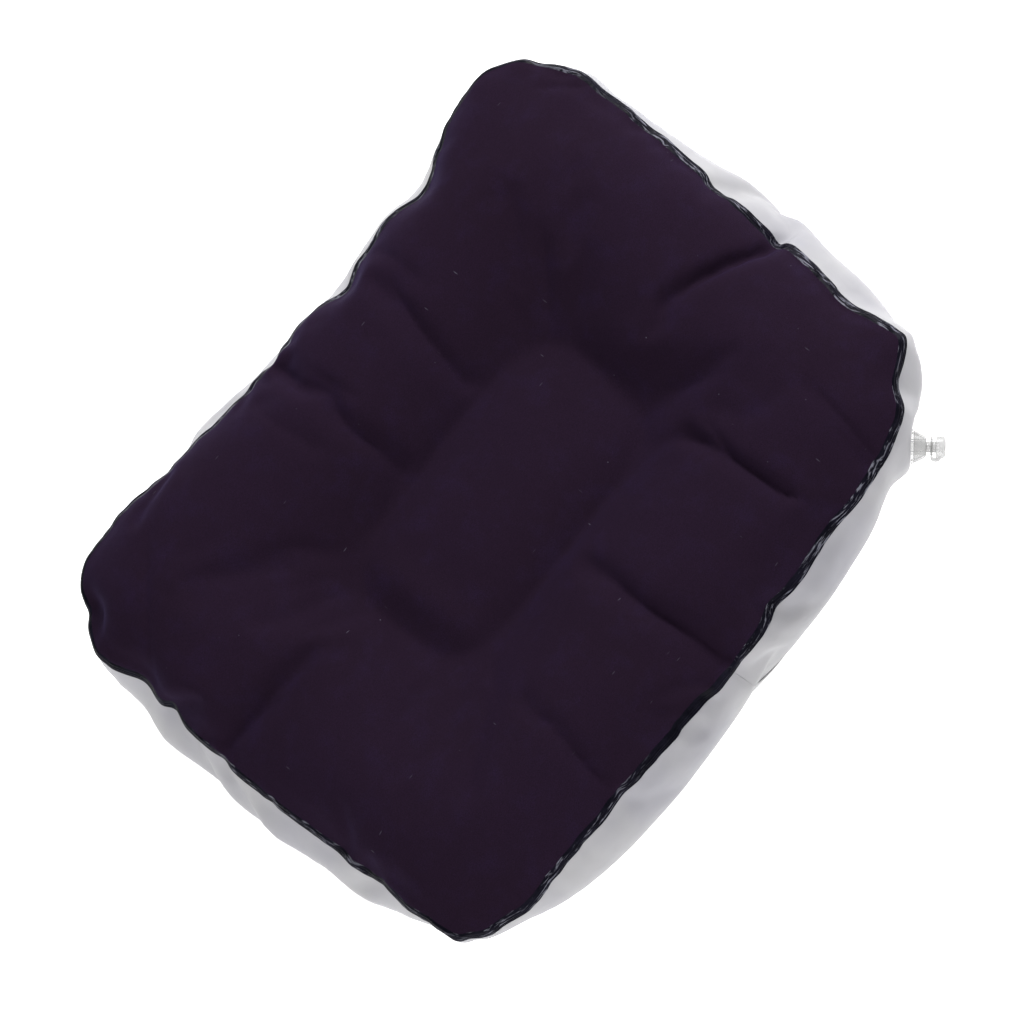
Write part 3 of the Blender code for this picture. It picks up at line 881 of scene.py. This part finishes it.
def make_tie_web():
    """The upright film ring inside the bag, flanged onto both sheets, with vents through it."""
    line, outward = oblong(np.arange(WEB_AROUND) / WEB_AROUND, ISLAND_LENGTH, ISLAND_WIDTH, ISLAND_POWER)
    low = FILM + GAP
    high = VALLEY_HEIGHT - FLOCKED_FILM - GAP
    section = [(-TIE_MARGIN, low), (-TIE_BEND, low), (-TIE_BEND / 4, low + TIE_BEND / 5)]
    section += [(0.0, low + (high - low) * step / WEB_STEPS) for step in range(1, WEB_STEPS)]
    section += [(-TIE_BEND / 4, high - TIE_BEND / 5), (-TIE_BEND, high), (-TIE_MARGIN, high)]
    points, faces = [], []
    for k, (outset, height) in enumerate(section):
        flat = line + outward * outset
        points += [(x, y, height) for x, y in flat]
        if k:
            upper = list(range(k * WEB_AROUND, (k + 1) * WEB_AROUND))
            faces += strip_faces([number - WEB_AROUND for number in upper], upper)
    web = add_piece("tie_ring", points, faces, WALL_FILM)
    thicken(web, FILM)
    applied(web)
    vents = (np.arange(VENT_COUNT) + 0.5) / VENT_COUNT
    for middle, direction in zip(*oblong(vents, ISLAND_LENGTH, ISLAND_WIDTH, ISLAND_POWER)):
        place = Vector((*middle, (low + high) / 2))
        cut_hole(web, VENT_RADIUS, VENT_CUT, place, Vector((*direction, 0)))
    smooth(web, SHARP_FILM)
    return web


net = Net(PANEL_LENGTH + 2 * EASE, PANEL_WIDTH + 2 * EASE, WALL_CUT, CELL)
top, bottom, wall = net.split(pulled(blow_up(net)))
wall = flattened(wall)
upper_rim = Rim(wall[-1], net.inside(top), wall[-2::-1], upward=True)
lower_rim = Rim(wall[0], net.inside(bottom), wall[1:], upward=False)

flocked_top = make_panel(
    "flocked_top", net, top, upper_rim, BAND_ON_PANEL, BAND_ON_WALL, (FLOCK, WELD), lift=PILE_HEIGHT
)
subdivide(flocked_top)
applied(flocked_top)
reshape(flocked_top, folded)
thicken(flocked_top, FILM)
applied(flocked_top)
smooth(flocked_top)

base_films = (BASE_FILM, BASE_FILM)
film_base = make_panel(
    "film_base", net, bottom, lower_rim, BASE_BAND_ON_PANEL, BASE_BAND_ON_WALL, base_films, upward=False
)
subdivide(film_base)
thicken(film_base, FILM)
applied(film_base)
smooth(film_base)

film_wall = make_wall(wall)
tie_ring = make_tie_web()

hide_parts("top_sheet")
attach(flocked_top, "top_panel")
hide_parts("bottom_sheet")
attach(film_base, "bag")
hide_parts("side_wall")
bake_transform(film_wall)
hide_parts("tie_web")
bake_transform(tie_ring)

# The valve, with distances along its axis counted outwards from the wall's outer face
VALVE_SIDES = 96
FLANGE_RADIUS = 0.0105
BOOT_FOOT_RADIUS = 0.0098
BOOT_SHOULDER_RADIUS = 0.0064
BOOT_WALL = 0.0008
BOOT_SHOULDER = 0.0084
STEM_RADIUS = 0.00455
BORE_RADIUS = 0.0032
STEM_START = -0.0040
STEM_END = 0.0145
CAP_HEAD_RADIUS = 0.0066
CAP_HEAD_LENGTH = 0.0056
CAP_PLUG_LENGTH = 0.0060
CAP_CHAMFER = 0.0014
STRAP_RING_START = 0.0116
STRAP_RING_RADIUS = 0.0064
STRAP_THICKNESS = 0.0010
STRAP_WIDTH = 0.0030
STRAP_BOW = 0.0018
STRAP_SIDE = math.radians(225)
STRAP_STEPS = 28
STRAP_ROOT = 0.0008  # how far the ribbon starts inside the ring
FLAP_RADIUS = 0.0042
FLAP_THICKNESS = 0.0008
ROUNDED_STEPS = 4
ROUNDED_SHARE = 0.45  # the most of a side that a rounded corner takes up
SHARP_VINYL = 35  # degrees


def softened(profile, radius, closed=True):
    """The profile with every corner rounded off, but not its ends if it is open."""
    corners = [Vector(corner) for corner in profile]
    points = []
    for i, corner in enumerate(corners):
        if not closed and i in (0, len(corners) - 1):
            points.append(corner)
            continue
        before = corners[i - 1] - corner
        after = corners[(i + 1) % len(corners)] - corner
        start = corner + before.normalized() * min(radius, before.length * ROUNDED_SHARE)
        end = corner + after.normalized() * min(radius, after.length * ROUNDED_SHARE)
        for step in range(ROUNDED_STEPS + 1):
            t = step / ROUNDED_STEPS
            points.append(start.lerp(corner, t).lerp(corner.lerp(end, t), t))
    return points


def turned(name, profile, closed=True, material=CLEAR):
    """A piece of revolution about the valve's axis from (radius, distance) points."""
    points, rows = [], []
    for radius, distance in profile:
        if radius == 0:
            rows.append([len(points)] * VALVE_SIDES)
            points.append(Vector((0, 0, distance)))
            continue
        rows.append(list(range(len(points), len(points) + VALVE_SIDES)))
        for side in range(VALVE_SIDES):
            angle = 2 * math.pi * side / VALVE_SIDES
            points.append(Vector((radius * math.cos(angle), radius * math.sin(angle), distance)))
    faces = []
    for lower, upper in zip(rows, rows[1:] + (rows[:1] if closed else [])):
        faces += strip_faces(lower, upper)
    piece = add_piece(name, [VALVE_FRAME @ point for point in points], faces, material)
    face_outwards(piece)
    smooth(piece, SHARP_VINYL)
    return piece


def face_outwards(piece):
    """Turns every face of a closed piece outwards."""
    bm = bmesh.new()
    bm.from_mesh(piece.data)
    bmesh.ops.recalc_face_normals(bm, faces=bm.faces)
    bm.to_mesh(piece.data)
    bm.free()


def make_flange():
    top = GAP + FLANGE_THICKNESS
    profile = [(FLANGE_RADIUS, top), (FLANGE_RADIUS, GAP), (PORT_RADIUS, GAP), (PORT_RADIUS, top)]
    return turned("valve_collar", softened(profile, 0.0003))


def make_boot():
    foot = 2 * GAP + FLANGE_THICKNESS
    neck = STEM_RADIUS + GAP
    profile = [
        (neck, BOOT_SHOULDER + BOOT_WALL),
        (BOOT_SHOULDER_RADIUS, BOOT_SHOULDER),
        (BOOT_FOOT_RADIUS, foot),
        (BOOT_FOOT_RADIUS - BOOT_WALL, foot),
        (BOOT_SHOULDER_RADIUS - BOOT_WALL, BOOT_SHOULDER - BOOT_WALL),
        (neck, BOOT_SHOULDER),
    ]
    return turned("valve_cone", softened(profile, 0.0010), material=CONE_CLEAR)


def make_stem():
    profile = [
        (STEM_RADIUS, STEM_END),
        (STEM_RADIUS, STEM_START),
        (BORE_RADIUS, STEM_START),
        (BORE_RADIUS, STEM_END),
    ]
    return turned("valve_tube", softened(profile, 0.0004))


def make_cap():
    under = STEM_END + GAP
    top = under + CAP_HEAD_LENGTH
    plug = BORE_RADIUS - GAP
    profile = [
        (0.0, top - CAP_CHAMFER / 2),
        (CAP_HEAD_RADIUS - 2 * CAP_CHAMFER, top),
        (CAP_HEAD_RADIUS - CAP_CHAMFER, top),
        (CAP_HEAD_RADIUS, top - CAP_CHAMFER),
        (CAP_HEAD_RADIUS, under),
        (plug, under),
        (plug, under - CAP_PLUG_LENGTH),
        (0.0, under - CAP_PLUG_LENGTH),
    ]
    return turned("valve_plug", softened(profile, 0.0006, closed=False), False, CAP_CLEAR)


def make_strap():
    """A ring round the stem with a ribbon that loops out to the cap's head."""
    ring_end = STRAP_RING_START + STRAP_THICKNESS
    ring_bore = STEM_RADIUS + GAP
    profile = [
        (STRAP_RING_RADIUS, ring_end),
        (STRAP_RING_RADIUS, STRAP_RING_START),
        (ring_bore, STRAP_RING_START),
        (ring_bore, ring_end),
    ]
    ring = turned("valve_strap", softened(profile, 0.0003), material=CAP_CLEAR)
    start = STRAP_RING_START + STRAP_THICKNESS / 2
    end = STEM_END + CAP_HEAD_LENGTH / 2
    near = CAP_HEAD_RADIUS + GAP
    path = [(STRAP_RING_RADIUS - STRAP_ROOT, start)]
    for i in range(1, STRAP_STEPS + 1):
        turn = math.pi * i / STRAP_STEPS
        distance = start + (end - start) * (1 - math.cos(turn)) / 2
        path.append((near + STRAP_BOW * math.sin(turn), distance))
    outward = Vector((math.cos(STRAP_SIDE), math.sin(STRAP_SIDE), 0))
    sideways = Vector((-outward.y, outward.x, 0))
    spine = [outward * radius + Vector((0, 0, distance)) for radius, distance in path]
    points, rows, faces = [], [], []
    for i, point in enumerate(spine):
        along = (spine[min(i + 1, STRAP_STEPS)] - spine[max(i - 1, 0)]).normalized()
        if i == STRAP_STEPS:
            along = -outward
        across = sideways.cross(along) * STRAP_THICKNESS / 2
        rows.append(list(range(len(points), len(points) + 4)))
        for side, height in ((1, 1), (-1, 1), (-1, -1), (1, -1)):
            points.append(VALVE_FRAME @ (point + sideways * side * STRAP_WIDTH / 2 + across * height))
    for lower, upper in zip(rows, rows[1:]):
        faces += strip_faces(lower, upper)
    faces += [tuple(rows[0]), tuple(rows[-1])]
    ribbon = add_piece("ribbon", points, faces, CAP_CLEAR)
    face_outwards(ribbon)
    modifier = ring.modifiers.new("ribbon", "BOOLEAN")
    modifier.operation = "UNION"
    modifier.object = ribbon
    modifier.solver = "EXACT"
    applied(ring)
    bpy.data.objects.remove(ribbon, do_unlink=True)
    smooth(ring, SHARP_VINYL)
    return ring


def make_flap():
    """The non-return flap over the stem's inner end."""
    outer = STEM_START - GAP
    inner = outer - FLAP_THICKNESS
    profile = [(0.0, outer), (FLAP_RADIUS, outer), (FLAP_RADIUS, inner), (0.0, inner)]
    return turned("valve_flap", softened(profile, 0.0002, closed=False), closed=False)


for make, node_name, body in (
    (make_flange, "valve_flange", "valve_mount"),
    (make_stem, "valve_stem", "stem"),
    (make_cap, "valve_cap", "cap"),
    (make_flap, "check_flap", "flap"),
):
    piece = make()
    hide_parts(node_name)
    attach(piece, body)


boot = make_boot()
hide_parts("valve_boot")
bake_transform(boot)
strap = make_strap()
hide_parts("cap_strap")
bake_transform(strap)

# The view: nearly flat perspective, from high on the -Y side, with the cushion turned in the frame
ELEVATION = math.radians(68)
ROLL = math.radians(52)
DISTANCE = 3.07
TARGET = Vector((-0.0017, 0.0026, 0.040))
backward = Vector((0, -math.cos(ELEVATION), math.sin(ELEVATION)))
level = Vector((1, 0, 0))
steep = Vector((0, math.sin(ELEVATION), math.cos(ELEVATION)))
right = level * math.cos(ROLL) - steep * math.sin(ROLL)
upward = level * math.sin(ROLL) + steep * math.cos(ROLL)
camera_data = bpy.data.cameras.new("camera")
camera_data.lens = 180
camera_data.clip_end = 20
camera = bpy.data.objects.new("camera", camera_data)
bpy.context.scene.collection.objects.link(camera)
camera.matrix_world = (
    Matrix.Translation(TARGET + backward * DISTANCE)
    @ Matrix((right, upward, backward)).transposed().to_4x4()
)
bpy.context.scene.camera = camera


def add_area_light(name, place, size, power):
    data = bpy.data.lights.new(name, "AREA")
    data.shape = "DISK"
    data.size = size
    data.energy = power
    light = bpy.data.objects.new(name, data)
    light.location = place
    light.rotation_euler = (-Vector(place)).to_track_quat("-Z", "Y").to_euler()
    bpy.context.scene.collection.objects.link(light)


add_area_light("key", (2.1, 1.2, 1.4), 0.9, 74)
add_area_light("top", (0.2, -0.6, 2.6), 1.6, 12)
add_area_light("fill", (-2.1, -1.8, 0.9), 1.6, 33)

world = bpy.data.worlds.new("studio")
world.use_nodes = True
world.node_tree.nodes["Background"].inputs["Color"].default_value = (1.0, 1.0, 1.0, 1.0)
world.node_tree.nodes["Background"].inputs["Strength"].default_value = 0.40
bpy.context.scene.world = world
bpy.context.scene.view_settings.view_transform = "Standard"

paper, paper_tree, paper_shader = new_material("white paper")
mottle = noise(paper_tree, object_place(paper_tree), 3, 2)
paper_tone = mix_colour(paper_tree, mottle, (0.90, 0.90, 0.90), (0.92, 0.92, 0.92))
paper_tree.links.new(paper_tone, paper_shader.inputs["Base Color"])
paper_shader.inputs["Roughness"].default_value = 0.9
paper_shader.inputs["Emission Color"].default_value = (1.0, 1.0, 1.0, 1.0)
paper_shader.inputs["Emission Strength"].default_value = 0.75
FLOOR_HALF = 6.0
FLOOR_HEIGHT = -0.0006  # just under the film bottom
corners = [(x * FLOOR_HALF, y * FLOOR_HALF, 0) for x, y in ((-1, -1), (1, -1), (1, 1), (-1, 1))]
floor = add_piece("floor", corners, [(0, 1, 2, 3)], paper)
floor.location.z = FLOOR_HEIGHT
